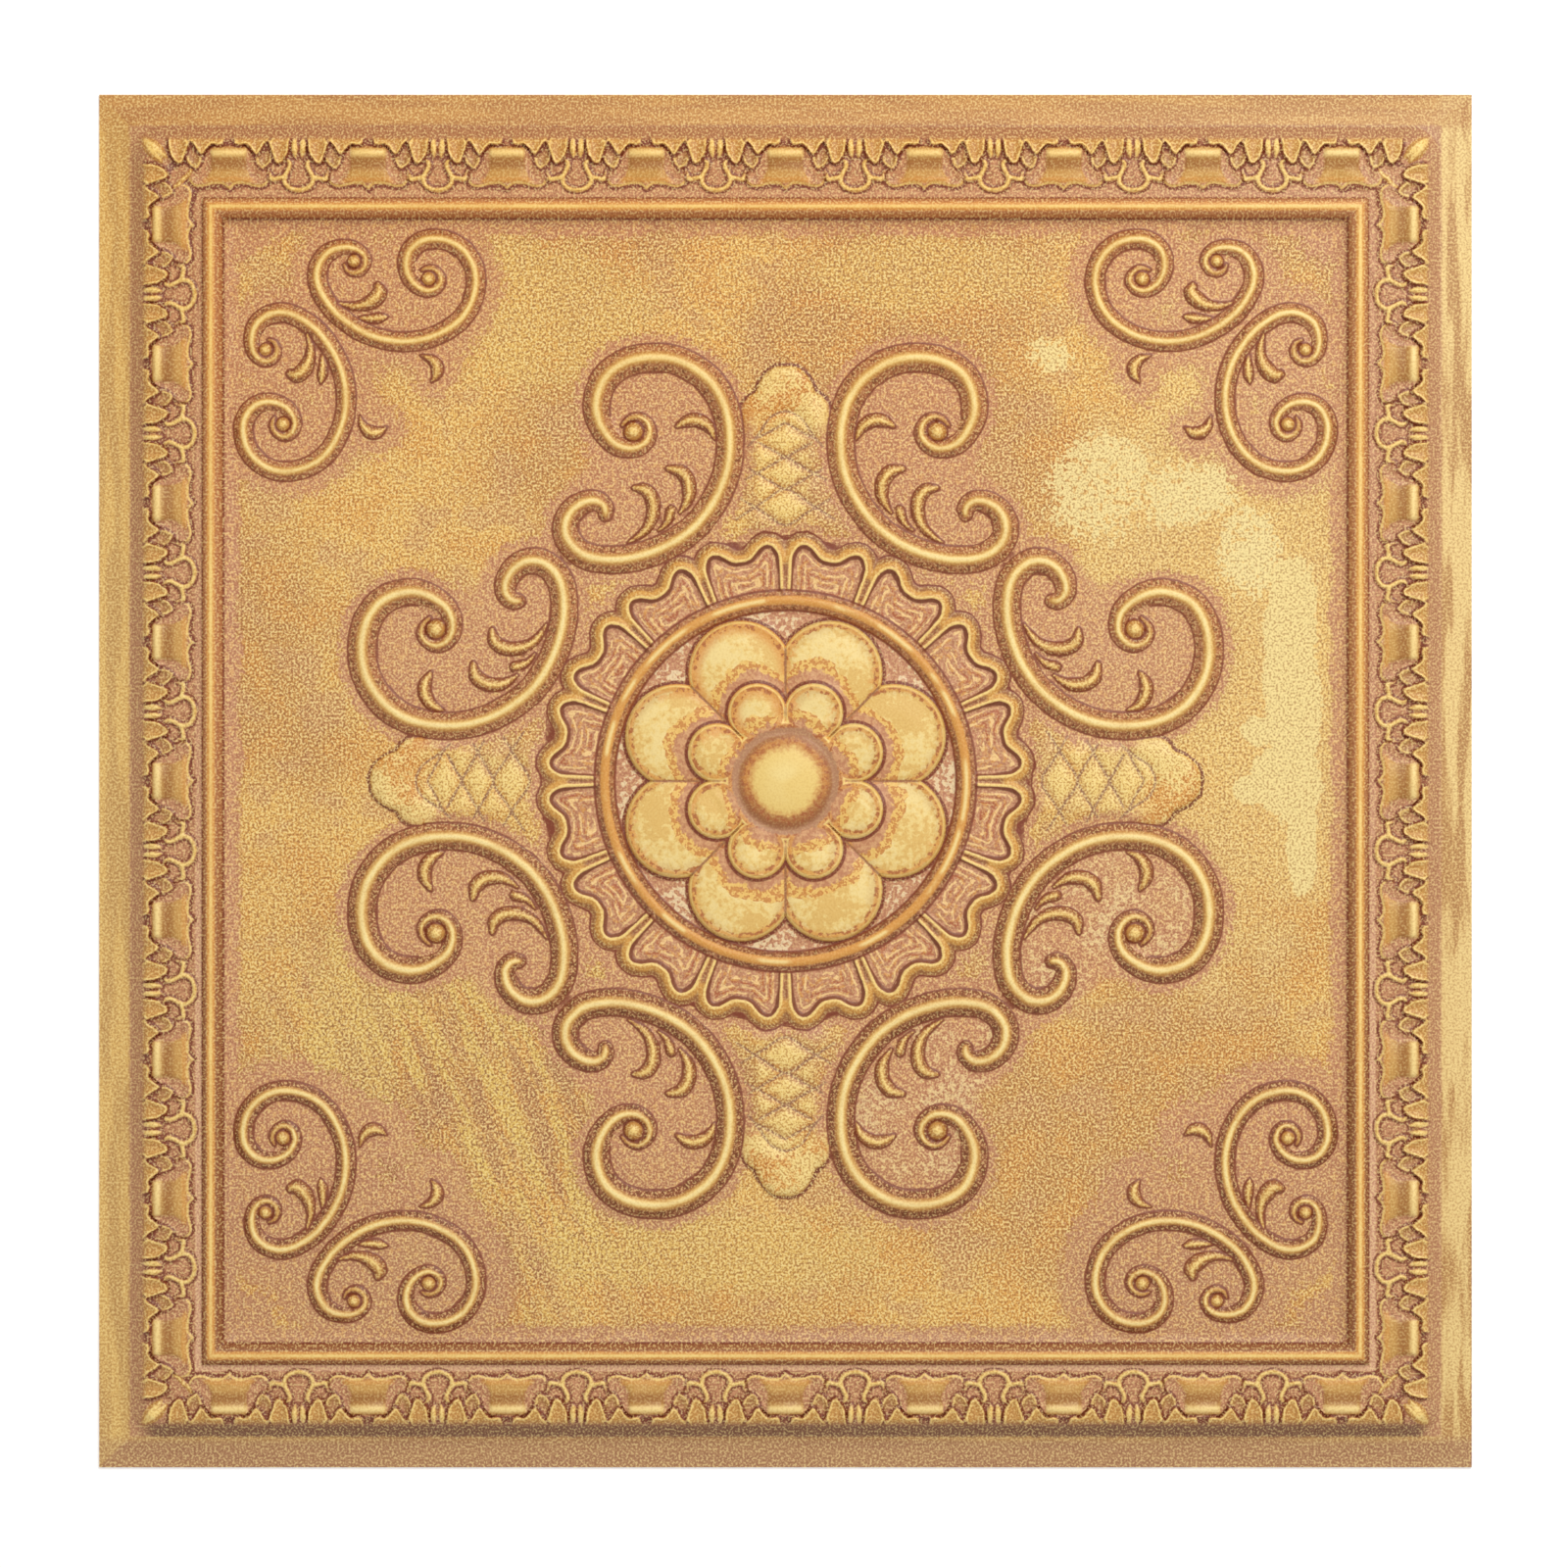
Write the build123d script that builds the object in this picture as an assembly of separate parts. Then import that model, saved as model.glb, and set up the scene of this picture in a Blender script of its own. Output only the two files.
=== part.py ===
"""Decorative ceiling tile: one thin sheet, formed over a mould, with its ornament hollow at the back."""
import os
from math import asin, atan, cos, degrees, floor, radians, sin, tan
from build123d import *

# Sheet: a square with a flat flange all round, which bears on the grid or is glued up
tile_width = 603.0
tile_depth = 603.0
wall = 1.0
flange_width = 14.0

# Frame: a steep outer slope, a flat band for the border ornament and a half-round bead
slope_width = 7.5
band_width = 24.5
band_height = 9.0
bead_radius = 4.0
step_width = 1.0
frame_corner_radius = 5.5

# Panel: the recessed field inside the bead
panel_height = 6.0
panel_corner_radius = 3.5

# Ribs: a little less than half a round above the panel, so that they leave the mould
rib_sink = 1.0

# Big scrolls: eight, two to each side of the medallion, each a row of tangent arcs from tail to eye
scroll_start = (78.8, 116.6)
scroll_heading = 96.0
scroll_arcs = [
    (5.4, 79), (10.6, 103), (15.0, 89), (56.0, 65), (44.0, 78),
    (27.0, 107), (18.7, 80), (11.0, 90), (4.6, 100),
]
scroll_radii = [4.2, 4.6, 5.6, 6.0, 6.2, 6.2, 6.2, 5.6, 4.4, 3.0]
scroll_eye_radius = 3.0
scroll_eye_offset = 6.2

# Small leaves inside each big scroll: start, heading, arcs and radii along each leaf
scroll_leaves = [
    ((31.0, 151.0), 73.0, [(10.0, 106)], [1.9, 2.6]),
    ((45.0, 120.0), 131.0, [(10.6, 124)], [1.9, 3.1]),
    ((68.5, 105.0), 171.0, [(12.2, 150)], [1.9, 3.0]),
    ((55.5, 110.0), 135.0, [(25.6, 23)], [1.9, 2.8]),
]

# Corner scrolls: eight, two to each corner, set out from the panel's corner
curl_start = (-57.6, -22.3)
curl_heading = 205.0
curl_arcs = [
    (3.6, 143), (10.3, 69), (12.4, 106), (41.9, 63), (31.4, 78),
    (18.6, 89), (13.3, 114), (9.4, 89), (5.1, 80),
]
curl_radii = [2.2, 2.6, 3.8, 4.2, 4.4, 4.4, 4.4, 4.2, 3.4, 2.6]
curl_eye_radius = 2.6
curl_eye_offset = 4.8

# Small leaves by each corner scroll, set out from the panel's corner too
curl_leaves = [
    ((-51.5, -37.0), 185.0, [(30.0, 18), (7.5, 100)], [1.8, 2.4, 3.0]),
    ((-59.5, -43.0), 175.0, [(40.0, 15)], [1.8, 2.6]),
    ((-91.5, -71.5), 105.0, [(15.2, 50)], [1.8, 2.6]),
]

# Medallion: a boss in a moat and two rows of eight petals, each a drafted disc with a domed top, in a ring
petal_count = 8
disc_draft = 1.3
boss_radius = 20.5
boss_height = 3.6
boss_crown = 4.4
moat_radius = 23.0
hub_radius = 38.0
hub_height = 2.2
inner_petal_radius = 12.9
inner_petal_height = 4.6
inner_petal_crown = 1.2
inner_petal_circle = 32.3
outer_petal_radius = 22.9
outer_petal_height = 2.6
outer_petal_crown = 1.4
outer_petal_circle = 51.3
ring_radius = 79.3
ring_rib = 4.2

# Skirt: sixteen two-lobed leaves round the ring, each dished, with a raised rim and a rib between two leaves
leaf_count = 16
skirt_radius = 98.5
skirt_height = 2.6
skirt_draft = 2.5
lobe_radius = 9.5
lobe_circle = 94.5
lobe_angle = 6.7
dish_depth = 1.6
dish_rim = 3.2
dish_gap = 1.5
leaf_rib = 3.2

# Lattice cones: four, on the tile's axes, between the two scrolls of each side
cone_cap_radius = 13.5
cone_cap_rise = 3.2
cone_cap_centre = 169.0
cone_shoulder_radius = 6.0
cone_shoulder_rise = 2.6
cone_shoulder_centre = (13.3, 163.5)
cone_half_width = 18.7
cone_flare_start = 143.0
cone_foot_half_width = 27.0
cone_foot = 105.0
cone_height = 2.2

# Border: domed eggs at an even pitch along each side, with a looped arch between two eggs
egg_pitch = 60.95
egg_radius = 8.6
egg_rise = 3.2
egg_from_bead = 14.0
arch_radius = 5.4
arch_rib = 1.7
arch_turn = 250.0
arch_from_bead = 9.2

# Depth by which a form reaches into the sheet that carries it, past the wall
root_lap = 0.6
below = 12.0

root = wall + root_lap
foot_x = tile_width / 2 - flange_width
foot_y = tile_depth / 2 - flange_width
bead_x = foot_x - slope_width - band_width - bead_radius
bead_y = foot_y - slope_width - band_width - bead_radius
panel_x = bead_x - bead_radius - step_width
panel_y = bead_y - bead_radius - step_width


def dome(plan_radius, rise, level, inset):
    """A spherical cap standing at a level above the panel, moved in by the inset."""
    ball = (plan_radius**2 + rise**2) / (2 * rise)
    base = ball - rise - root
    cap = Sphere(ball - inset, arc_size1=degrees(asin(base / (ball - inset))), align=Align.NONE)
    return Pos(0, 0, panel_height + level + rise - ball) * cap


def disc(radius, height, crown, inset):
    """A drafted disc with a domed top, standing on the panel, moved in by the inset."""
    slope = disc_draft / height
    shoulder = height - inset
    top = shoulder + crown
    rim = radius - inset - slope * shoulder
    foot = radius - inset + slope * root
    sides = Polyline((0, top), (0, -root), (foot, -root), (rim, shoulder))
    crown_arc = TangentArc((0, top), (rim, shoulder), tangent=(1, 0))
    profile = Plane.XZ * make_face(sides.edges() + crown_arc.edges())
    return Pos(0, 0, panel_height) * revolve(profile, Axis.Z)


def arc_row(start, heading, arcs):
    """Tangent arcs that all turn clockwise, as one row of edges."""
    edges = []
    tangent = Vector(cos(radians(heading)), sin(radians(heading)))
    for radius, turn in arcs:
        edge = JernArc(start, tangent, radius, -turn)
        edges.append(edge)
        start = edge @ 1
        tangent = edge % 1
    return edges


def rib(edges, radii, inset):
    """A tapered round rib along a row of arcs, with rounded ends."""
    lift = Pos(0, 0, panel_height - rib_sink)
    sections = [Plane(origin=edges[0] @ 0, z_dir=edges[0] % 0) * Circle(radii[0] - inset)]
    for edge, radius in zip(edges, radii[1:]):
        sections.append(Plane(origin=edge @ 1, z_dir=edge % 1) * Circle(radius - inset))
    tube = lift * sweep(sections, path=Wire(edges), multisection=True)
    head = lift * Pos(edges[0] @ 0) * Sphere(radii[0] - inset)
    tail = lift * Pos(edges[-1] @ 1) * Sphere(radii[-1] - inset)
    return [tube, head, tail]


def volute(start, heading, arcs, radii, eye_radius, eye_offset, inset):
    """A scroll's rib with the ball of its eye, which lies on the inner side of the last arc's end."""
    edges = arc_row(start, heading, arcs)
    inward = (edges[-1] % 1).rotate(Axis.Z, -90)
    eye = edges[-1] @ 1 + inward * eye_offset
    ball = Pos(eye.X, eye.Y, panel_height - rib_sink) * Sphere(eye_radius + rib_sink - inset)
    return rib(edges, radii, inset) + [ball]


def leaves(rows):
    """Small tapered leaves, which stand on the face only."""
    parts = []
    for start, heading, arcs, radii in rows:
        parts += rib(arc_row(start, heading, arcs), radii, 0)
    return parts


def round_medallion(parts):
    """Eight copies about the centre: each part and its mirror image, on the four sides."""
    pairs = [copy for part in parts for copy in (part, part.mirror(Plane.YZ))]
    return [Rot(0, 0, 90 * turn) * copy for copy in pairs for turn in range(4)]


def in_corners(parts):
    """Eight copies: each part and its mirror image about the corner's diagonal, in the four corners."""
    diagonal = Plane(origin=(0, 0, 0), x_dir=(1, 1, 0), z_dir=(1, -1, 0))
    pairs = [Pos(panel_x, panel_y) * copy for part in parts for copy in (part, part.mirror(diagonal))]
    halves = [copy for pair in pairs for copy in (pair, pair.mirror(Plane.YZ))]
    return [copy for half in halves for copy in (half, half.mirror(Plane.XZ))]


def big_scrolls(inset):
    path = scroll_start, scroll_heading, scroll_arcs
    parts = volute(*path, scroll_radii, scroll_eye_radius, scroll_eye_offset, inset)
    if not inset:
        parts += leaves(scroll_leaves)
    return round_medallion(parts)


def corner_scrolls(inset):
    path = curl_start, curl_heading, curl_arcs
    parts = volute(*path, curl_radii, curl_eye_radius, curl_eye_offset, inset)
    if not inset:
        parts += leaves(curl_leaves)
    return in_corners(parts)


def rosette(inset):
    parts = [disc(boss_radius, boss_height, boss_crown, inset)]
    parts.append(Pos(0, 0, panel_height) * Torus(ring_radius, ring_rib - inset))
    hub_rise = root + hub_height - inset
    parts.append(Pos(0, 0, panel_height - root + hub_rise / 2) * Cylinder(hub_radius - inset, hub_rise))
    outer = Pos(outer_petal_circle, 0) * disc(outer_petal_radius, outer_petal_height, outer_petal_crown, inset)
    inner = Pos(inner_petal_circle, 0) * disc(inner_petal_radius, inner_petal_height, inner_petal_crown, inset)
    inner -= Cylinder(moat_radius + inset, 4 * below)
    for k in range(petal_count):
        turn = Rot(0, 0, (k + 0.5) * 360 / petal_count)
        parts += [turn * outer, turn * inner]
    return parts


def skirt(inset):
    """The plate of two-lobed leaves round the ring, dished on the face and plain at the back."""
    height = skirt_height if not inset else skirt_height - dish_depth - inset
    rise = root + height
    flare = skirt_draft * rise / skirt_height
    base = Pos(0, 0, panel_height - root + rise / 2)
    top_rim = skirt_radius - inset - skirt_draft / 2
    plate = base * Cone(top_rim + flare, top_rim, rise)
    top_lobe = lobe_radius - inset - skirt_draft / 2
    lobes = []
    for k in range(leaf_count):
        for side in (-1, 1):
            turn = Rot(0, 0, (k + 0.5) * 360 / leaf_count + side * lobe_angle)
            lobes.append(turn * Pos(lobe_circle, 0) * base * Cone(top_lobe + flare, top_lobe, rise))
    plate = plate.fuse(*lobes)
    if inset:
        return plate - Cylinder(ring_radius, below)
    slant = radians(180 / leaf_count)
    near = ring_radius + ring_rib + dish_gap
    far = lobe_circle * cos(radians(lobe_angle))
    side_gap = leaf_rib / 2 / cos(slant)
    near_y = near * tan(slant) - side_gap
    far_y = far * tan(slant) - side_gap
    outline = make_face(Polyline((near, near_y), (far, far_y), (far, -far_y), (near, -near_y), close=True))
    for side in (-1, 1):
        outline += Pos(far, side * lobe_circle * sin(radians(lobe_angle))) * Circle(lobe_radius - dish_rim)
    dish = Pos(0, 0, panel_height + skirt_height - dish_depth) * extrude(outline, below)
    dishes = [Rot(0, 0, (k + 0.5) * 360 / leaf_count) * dish for k in range(leaf_count)]
    return plate - [Cylinder(ring_radius, 4 * below)] - dishes


def lattice_cones(inset):
    cap = Pos(0, cone_cap_centre) * dome(cone_cap_radius, cone_cap_rise, 0, inset)
    shoulder = Pos(*cone_shoulder_centre) * dome(cone_shoulder_radius, cone_shoulder_rise, 0, inset)
    half = [
        (cone_half_width - inset, cone_shoulder_centre[1] - inset),
        (cone_half_width - inset, cone_flare_start),
        (cone_foot_half_width - inset, cone_foot),
    ]
    outline = Polyline(*half, *[(-x, y) for x, y in reversed(half)], close=True)
    body = Pos(0, 0, panel_height - root) * extrude(make_face(outline), root + cone_height - inset)
    parts = [cap, shoulder, shoulder.mirror(Plane.YZ), body]
    return [Rot(0, 0, 90 * turn) * part for part in parts for turn in range(4)]


def border(inset):
    """Eggs and arches along the band of each side."""
    egg = dome(egg_radius, egg_rise, band_height - panel_height, inset)
    loop = CenterArc((0, 0), arch_radius, -90 - arch_turn / 2, arch_turn)
    section = Plane(origin=loop @ 0, z_dir=loop % 0) * Circle(arch_rib)
    arch = Pos(0, 0, band_height) * sweep(section, path=loop)
    parts = []
    for side in range(4):
        length, reach = (panel_x, bead_y) if side % 2 == 0 else (panel_y, bead_x)
        pairs = floor(length / egg_pitch)
        turn = Rot(0, 0, 90 * side)
        for k in range(-pairs, pairs + 1):
            parts.append(turn * Pos(k * egg_pitch, reach + bead_radius + egg_from_bead) * egg)
        if not inset:
            for k in range(-pairs, pairs):
                parts.append(turn * Pos((k + 0.5) * egg_pitch, reach + bead_radius + arch_from_bead) * arch)
    return parts


def beads(inset):
    """Four round bars along the band's inner edge, mitred at the corners."""
    far = tile_width + tile_depth
    bars = []
    for side in range(4):
        length, reach = (bead_x, bead_y) if side % 2 == 0 else (bead_y, bead_x)
        bar = Rot(0, 90, 0) * Cylinder(bead_radius - inset, 2 * length + 4 * bead_radius)
        bar = Pos(0, reach, band_height) * bar
        tip = reach - length
        mitre = Polyline((0, tip), (far, tip + far), (-far, tip + far), close=True)
        keep = extrude(make_face(mitre), far, both=True)
        bars.append(Rot(0, 0, 90 * side) * (bar & keep))
    return bars


def ground(inset):
    """The slope, the band and the recessed panel, with the flange on the face only."""
    drop = below if inset else 0
    spread = drop * slope_width / band_height - inset
    foot = RectangleRounded(2 * (foot_x + spread), 2 * (foot_y + spread), frame_corner_radius + slope_width)
    slope_angle = degrees(atan(slope_width / band_height))
    hill = extrude(Pos(0, 0, -drop) * foot, drop + band_height - inset, taper=slope_angle)
    floor_face = RectangleRounded(2 * (panel_x + inset), 2 * (panel_y + inset), panel_corner_radius)
    lean = degrees(atan(step_width / (band_height - panel_height)))
    body = hill - extrude(Pos(0, 0, panel_height - inset) * floor_face, below, taper=-lean)
    if not inset:
        body += Pos(0, 0, wall / 2) * Box(tile_width, tile_depth, wall)
    return body


def relief(inset):
    """All that lies under the face of the tile, moved in by the inset: by the wall it gives the hollow back."""
    forms = big_scrolls(inset) + corner_scrolls(inset) + rosette(inset) + [skirt(inset)]
    forms += lattice_cones(inset) + border(inset) + beads(inset)
    return ground(inset).fuse(*forms)


ceiling_tile = relief(0) - relief(wall)

os.makedirs("parts", exist_ok=True)
export_step(ceiling_tile, "parts/ceiling_tile.step")
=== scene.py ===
import math
import bmesh
import bpy
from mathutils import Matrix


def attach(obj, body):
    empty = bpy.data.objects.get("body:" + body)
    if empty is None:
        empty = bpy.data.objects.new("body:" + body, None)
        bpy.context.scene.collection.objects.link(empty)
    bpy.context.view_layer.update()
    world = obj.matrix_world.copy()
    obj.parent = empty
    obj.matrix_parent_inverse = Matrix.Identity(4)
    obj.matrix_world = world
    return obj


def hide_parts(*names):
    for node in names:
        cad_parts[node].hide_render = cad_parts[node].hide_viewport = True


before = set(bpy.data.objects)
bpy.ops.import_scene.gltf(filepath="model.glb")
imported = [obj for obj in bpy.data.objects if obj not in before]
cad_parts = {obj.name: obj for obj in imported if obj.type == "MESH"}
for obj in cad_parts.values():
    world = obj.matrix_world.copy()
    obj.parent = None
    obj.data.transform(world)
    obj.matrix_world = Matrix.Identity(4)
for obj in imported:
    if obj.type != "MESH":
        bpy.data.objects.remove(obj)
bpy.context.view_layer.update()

# The tile is one thin sheet of plastic, drawn hot over a mould by vacuum and trimmed square.
# Its flange lies flat, the frame and bead rise from it, and the ornament stands on the recessed panel.
# Below is one eighth of the ornament, in millimetres from the centre, with the half width at each point.


class Field:
    """One output socket of a node, on which arithmetic adds Math nodes to the same tree."""

    def __init__(self, tree, socket=None):
        self.tree = tree
        self.socket = socket

    def node(self, kind, settings=(), sockets=(), out=0):
        made = self.tree.nodes.new(kind)
        for name, value in dict(settings).items():
            setattr(made, name, value)
        for name, value in dict(sockets).items():
            if isinstance(value, Field):
                self.tree.links.new(value.socket, made.inputs[name])
            else:
                made.inputs[name].default_value = value
        return Field(self.tree, made.outputs[out])

    def math(self, operation, *values):
        return self.node("ShaderNodeMath", {"operation": operation}, dict(enumerate(values)))

    def ease(self, low, high):
        limits = {"Value": self, "From Min": low, "From Max": high}
        return self.node("ShaderNodeMapRange", {"interpolation_type": "SMOOTHSTEP"}, limits)

    def least(self, other):
        return self.math("MINIMUM", self, other)

    def most(self, other):
        return self.math("MAXIMUM", self, other)

    def power(self, other):
        return self.math("POWER", self, other)

    def size(self):
        return self.math("ABSOLUTE", self)

    def __add__(self, other):
        return self.math("ADD", self, other)

    def __sub__(self, other):
        return self.math("SUBTRACT", self, other)

    def __rsub__(self, other):
        return self.math("SUBTRACT", other, self)

    def __mul__(self, other):
        return self.math("MULTIPLY", self, other)

    def __truediv__(self, other):
        return self.math("DIVIDE", self, other)

    __radd__ = __add__
    __rmul__ = __mul__


def drawn(name, strokes, closed=False, fold=None):
    """Strokes of (x, y, half width) in millimetres, made whole across the fold that they meet."""
    lines = bpy.data.curves.new(name, "CURVE")
    lines.dimensions = "3D"
    for stroke in strokes:
        if fold is not None:
            other = [(2.0 * fold - across, up, half) for across, up, half in reversed(stroke)]
            starts = abs(stroke[0][0] - fold) < 0.01
            ends = abs(stroke[-1][0] - fold) < 0.01
            if starts and ends:
                stroke = stroke + other[1:-1]
            elif starts:
                stroke = other[:-1] + stroke
            elif ends:
                stroke = stroke + other[1:]
        line = lines.splines.new("POLY")
        line.points.add(len(stroke) - 1)
        for point, (across, up, half) in zip(line.points, stroke):
            point.co = (across, up, 0.0, 1.0)
            point.radius = half
        line.use_cyclic_u = closed
    sketch = bpy.data.objects.new(name, lines)
    bpy.context.scene.collection.objects.link(sketch)
    return sketch


big_scroll = [
    (79.0, 117.0, 3.4), (79.0, 119.2, 4.0), (80.6, 121.6, 4.4), (84.0, 123.0, 4.8), (89.0, 122.0, 5.2),
    (93.8, 118.5, 5.5),
    (96.5, 113.0, 5.8), (96.0, 107.0, 5.9), (92.0, 101.5, 6.0), (86.0, 98.2, 6.1), (78.0, 97.0, 6.2),
    (70.0, 97.4, 6.2),
    (60.0, 99.8, 6.2), (50.0, 104.2, 6.2), (41.0, 110.5, 6.2), (34.0, 118.5, 6.2), (28.5, 128.0, 6.2),
    (25.2, 138.0, 6.2),
    (24.2, 148.0, 6.2), (25.0, 158.0, 6.3), (28.0, 167.5, 6.4), (33.0, 175.0, 6.5), (40.0, 180.8, 6.5),
    (48.0, 184.5, 6.5),
    (57.0, 185.8, 6.5), (66.0, 184.8, 6.5), (73.0, 182.0, 6.4), (78.5, 177.5, 6.3), (81.8, 171.0, 6.2),
    (83.0, 163.5, 6.0),
    (81.5, 157.0, 5.7), (78.0, 151.0, 5.2), (74.0, 147.3, 4.7), (69.0, 145.8, 4.3), (64.5, 146.4, 4.0),
    (60.8, 149.2, 3.6),
    (59.3, 153.4, 3.1), (60.9, 157.6, 2.6), (64.6, 159.8, 2.2), (68.8, 158.9, 1.7), (71.6, 156.0, 1.2),
]
scroll_eye = [(66.4, 153.4, 4.4), (66.8, 153.0, 4.4)]
corner_scroll = [
    (193.6, 226.6, 1.0), (192.2, 223.9, 1.5), (189.0, 222.8, 2.0), (185.8, 224.0, 2.3), (184.1, 227.2, 2.5),
    (185.0, 230.8, 2.8), (188.5, 233.4, 3.3), (194.0, 234.0, 3.8),
    (200.0, 232.2, 4.2), (204.0, 227.5, 4.4), (205.5, 221.0, 4.5), (203.5, 214.0, 4.5), (198.0, 206.0, 4.5),
    (190.0, 199.5, 4.5),
    (181.0, 195.0, 4.5), (171.0, 192.8, 4.5), (161.0, 193.2, 4.5), (152.0, 196.0, 4.5), (144.0, 201.0, 4.5),
    (138.5, 208.0, 4.5),
    (135.8, 217.0, 4.5), (136.5, 225.0, 4.5), (140.5, 232.0, 4.5), (147.0, 236.5, 4.5), (155.0, 237.8, 4.5),
    (161.0, 236.0, 4.5),
    (165.0, 232.0, 4.3), (166.3, 226.5, 4.1), (165.0, 221.0, 3.8), (161.5, 216.8, 3.4), (157.0, 215.0, 3.0),
    (152.8, 216.4, 2.7),
    (151.0, 219.8, 2.4), (152.5, 223.3, 2.1), (156.0, 225.1, 1.7), (159.6, 224.2, 1.1),
]
corner_eyes = [[(156.3, 220.5, 3.3), (156.7, 220.1, 3.3)], [(189.0, 228.2, 3.0), (189.4, 227.9, 3.0)]]
ribs = drawn("mould_ribs", [big_scroll, corner_scroll])
leaves = drawn("mould_leaves", [
    scroll_eye, *corner_eyes,
    [(31.2, 150.0, 0.9), (32.6, 154.0, 2.2), (35.8, 157.0, 3.0), (40.0, 158.4, 3.1), (44.0, 157.6, 2.6),
     (47.5, 155.5, 1.2)],
    [(46.5, 117.6, 0.9), (43.8, 121.5, 2.0), (42.2, 126.0, 2.9), (42.8, 131.6, 3.2), (46.0, 135.8, 3.1),
     (51.4, 137.0, 1.6)],
    [(69.0, 104.6, 0.8), (64.0, 107.8, 1.7), (60.0, 112.0, 2.5), (58.0, 118.0, 3.0), (58.6, 124.0, 3.2),
     (61.6, 127.8, 2.9), (66.5, 128.6, 1.4)],
    [(50.0, 118.6, 2.6), (51.2, 115.2, 2.1), (53.0, 112.2, 1.4), (56.0, 109.8, 0.8)],
    [(196.0, 209.8, 0.9), (190.0, 208.2, 1.9), (184.6, 208.9, 2.8), (180.4, 211.2, 3.6),
     (178.0, 214.4, 3.4), (178.6, 217.0, 2.2)],
    [(187.0, 203.2, 0.8), (182.0, 202.8, 2.1), (177.6, 203.2, 2.3), (174.6, 203.8, 0.8)],
    [(160.0, 186.6, 0.8), (156.0, 185.4, 2.0), (153.0, 182.2, 3.0), (153.0, 178.4, 2.5), (155.2, 175.2, 0.8)],
    [(271.5, 273.5, 1.0), (274.5, 276.0, 2.6), (278.0, 279.0, 2.8), (281.5, 282.0, 1.2)],
    [(260.4, 267.8, 0.8), (261.6, 265.8, 1.1), (263.2, 264.4, 1.2), (264.6, 263.8, 1.2)],
])
skirt_leaf = drawn("mould_skirt_leaf", [[
    (0.0, 98.3, 1.0), (2.5, 98.5, 1.0), (4.8, 99.6, 1.0), (8.1, 102.4, 1.0), (11.4, 103.7, 1.0),
    (14.0, 103.0, 1.0),
    (15.7, 101.0, 1.0), (16.8, 97.5, 1.0), (16.4, 93.0, 1.0), (15.6, 88.0, 1.0), (14.9, 83.5, 1.0),
    (14.0, 76.0, 1.0), (0.0, 76.0, 1.0),
]], closed=True, fold=0.0)
skirt_veins = drawn("mould_skirt_veins", [
    [(0.0, 90.4, 0.9), (2.4, 91.3, 0.9), (5.0, 93.2, 0.9), (7.6, 93.2, 0.9), (9.3, 91.0, 0.9),
     (9.5, 87.5, 0.9), (8.9, 84.0, 0.9)],
    [(0.0, 87.6, 0.7), (2.8, 88.6, 0.7), (5.2, 90.2, 0.7), (7.0, 89.2, 0.7), (7.2, 86.0, 0.7)],
    [(3.0, 94.8, 0.7), (6.0, 96.4, 0.8), (9.5, 96.2, 0.8), (11.6, 93.5, 0.8), (11.9, 89.0, 0.8),
     (11.3, 85.0, 0.7)],
], fold=0.0)
cone = drawn("mould_cone", [[
    (0.0, 182.5, 1.0), (5.0, 181.8, 1.0), (8.0, 179.9, 1.0), (10.6, 177.0, 1.0), (12.4, 173.6, 1.0),
    (13.5, 170.7, 1.0),
    (16.0, 169.3, 1.0), (18.0, 167.2, 1.0), (19.3, 164.4, 1.0), (19.8, 158.0, 1.0), (19.6, 148.0, 1.0),
    (21.0, 138.0, 1.0),
    (25.0, 126.0, 1.0), (31.0, 116.0, 1.0), (38.0, 108.0, 1.0), (30.0, 96.0, 1.0), (0.0, 96.0, 1.0),
]], closed=True, fold=0.0)
cone_grooves = drawn("mould_cone_grooves", [
    [(0.0, 162.2, 1.0), (5.6, 160.2, 1.0), (8.6, 157.2, 1.0), (10.5, 154.0, 1.0), (13.5, 150.0, 0.8),
     (16.5, 146.5, 0.5)],
    [(0.0, 156.8, 1.0), (4.0, 154.8, 1.0), (8.0, 152.6, 1.0), (12.5, 150.5, 0.6)],
    [(0.0, 142.2, 0.9), (5.0, 144.8, 0.9), (11.5, 148.2, 0.6)],
    [(0.0, 141.8, 0.9), (5.0, 139.2, 0.9), (10.0, 136.4, 0.9), (18.0, 132.0, 0.6)],
    [(0.0, 128.2, 0.9), (6.0, 131.0, 0.9), (13.0, 135.2, 0.9), (16.5, 137.0, 0.6)],
    [(0.0, 128.0, 0.9), (10.0, 122.2, 0.9), (22.0, 114.5, 0.7)],
    [(0.0, 112.2, 0.7), (10.0, 118.0, 0.9), (20.0, 124.0, 0.7)],
], fold=0.0)
egg = drawn("mould_egg", [[
    (0.0, 259.2, 1.0), (1.3, 260.4, 1.0), (3.0, 261.5, 1.0), (5.0, 261.8, 1.0), (8.0, 261.3, 1.0),
    (12.0, 260.3, 1.0),
    (15.0, 260.6, 1.0), (17.0, 262.2, 1.0), (17.6, 265.0, 1.0), (15.5, 268.5, 1.0), (12.5, 272.0, 1.0),
    (10.8, 275.0, 1.0),
    (8.4, 277.6, 1.0), (4.0, 279.2, 1.0), (0.0, 279.6, 1.0),
]], closed=True, fold=0.0)
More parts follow.
